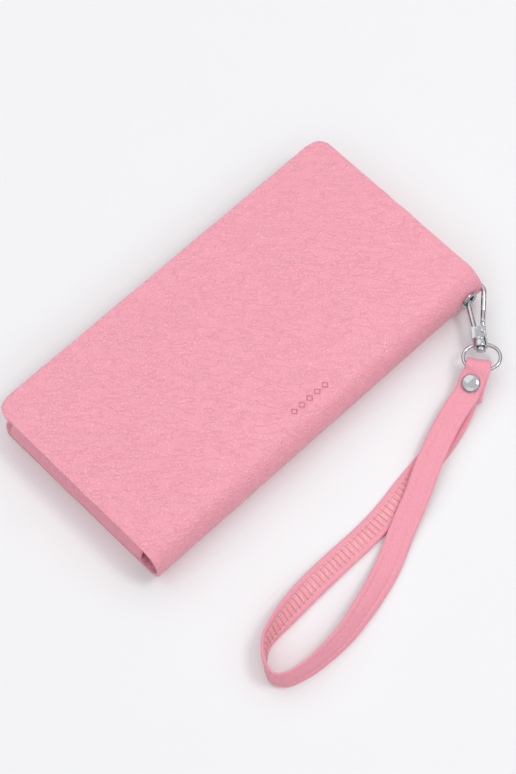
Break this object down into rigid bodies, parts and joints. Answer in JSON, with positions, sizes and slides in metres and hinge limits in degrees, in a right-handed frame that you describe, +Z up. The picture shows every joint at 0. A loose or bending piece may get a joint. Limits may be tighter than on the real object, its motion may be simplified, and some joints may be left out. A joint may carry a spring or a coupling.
{
  "type": "wristlet wallet",
  "caption": "Long folding wallet in padded leather with gusseted pockets, a zipped coin pocket and a wrist strap held by a snap hook in a spine eyelet.",
  "frame": {"origin": "middle of the back cover on the surface it rests on", "axes": "+X along the spine to the end with the eyelet, -Y towards the spine, +Z up through the front cover"},
  "size_m": [0.1966, 0.1774, 0.02],
  "materials": {
    "cover_leather": "soft pebbled grain, semi-matt",
    "strap_leather": "soft pebbled grain, turned and stitched edges",
    "pocket_leather": "fine grain, matt",
    "lining": "fine woven lining",
    "board": "plain",
    "zip_tape": "ribbed woven tape",
    "zip_metal": "bright nickel",
    "hardware": "bright nickel plate",
    "spring_steel": "plain spring wire"
  },
  "bodies": {
    "wallet": {"back_cover_leather": "cover_leather", "back_board": "board", "back_lining": "lining", "bill_gusset_hook_end": "pocket_leather", "bill_gusset_far_end": "pocket_leather", "coin_gusset_hook_end": "pocket_leather", "coin_gusset_far_end": "pocket_leather", "coin_pocket": "pocket_leather", "slip_pocket": "pocket_leather", "zip_tape_lower": "zip_tape", "zip_tape_upper": "zip_tape", "zip_teeth_lower": "zip_metal", "zip_teeth_upper": "zip_metal", "zip_stop_closed_end": "zip_metal", "zip_stop_open_end": "zip_metal", "eyelet": "hardware", "eyelet_washer": "hardware"},
    "front_cover": {"front_cover_leather": "cover_leather", "front_board": "board", "front_lining": "lining", "card_slot_1": "pocket_leather", "card_slot_2": "pocket_leather", "card_slot_3": "pocket_leather", "card_slot_4": "pocket_leather"},
    "hook": {"hook_body": "hardware", "gate_pin": "hardware", "gate_spring": "spring_steel"},
    "gate": {"hook_gate": "hardware"},
    "ring": {"swivel_ring": "hardware"},
    "strap": {"strap_leather": "strap_leather", "rivet_cap": "hardware", "rivet_post": "hardware"},
    "slider": {"zip_slider": "zip_metal"},
    "pull": {"zip_pull": "zip_metal"}
  },
  "joints": [
    {"name": "cover_open", "type": "hinge", "parent": "wallet", "child": "front_cover", "pos_m": [0, -0.04743, 0.01766], "axis": [1, 0, 0], "range_deg": [0, 180]},
    {"name": "hook_swing", "type": "hinge", "parent": "wallet", "child": "hook", "pos_m": [0.089, -0.051, 0.01], "axis": [1, 0, 0], "range_deg": [-17, 0]},
    {"name": "gate_open", "type": "hinge", "parent": "hook", "child": "gate", "pos_m": [0.08266, -0.06551, 0.00894], "axis": [-0.0451, -0.0532, 0.9976], "range_deg": [0, 18], "stiffness_Nm_per_rad": 0.01, "springref_deg": -17.19},
    {"name": "swivel", "type": "hinge", "parent": "hook", "child": "ring", "pos_m": [0.0777, -0.06889, 0.00853], "axis": [0.6452, 0.7608, 0.0698], "continuous": true},
    {"name": "strap_tilt", "type": "hinge", "parent": "ring", "child": "strap", "pos_m": [0.06888, -0.07587, 0.00776], "axis": [0.5835, -0.8121, 0], "range_deg": [-60, 0]},
    {"name": "zip_slide", "type": "slide", "parent": "wallet", "child": "slider", "axis": [-1, 0, 0], "range_m": [0, 0.155]},
    {"name": "zip_pull", "type": "hinge", "parent": "slider", "child": "pull", "pos_m": [0.0775, 0.0491, 0.0099], "axis": [0, 0, -1], "range_deg": [0, 180]}
  ]
}
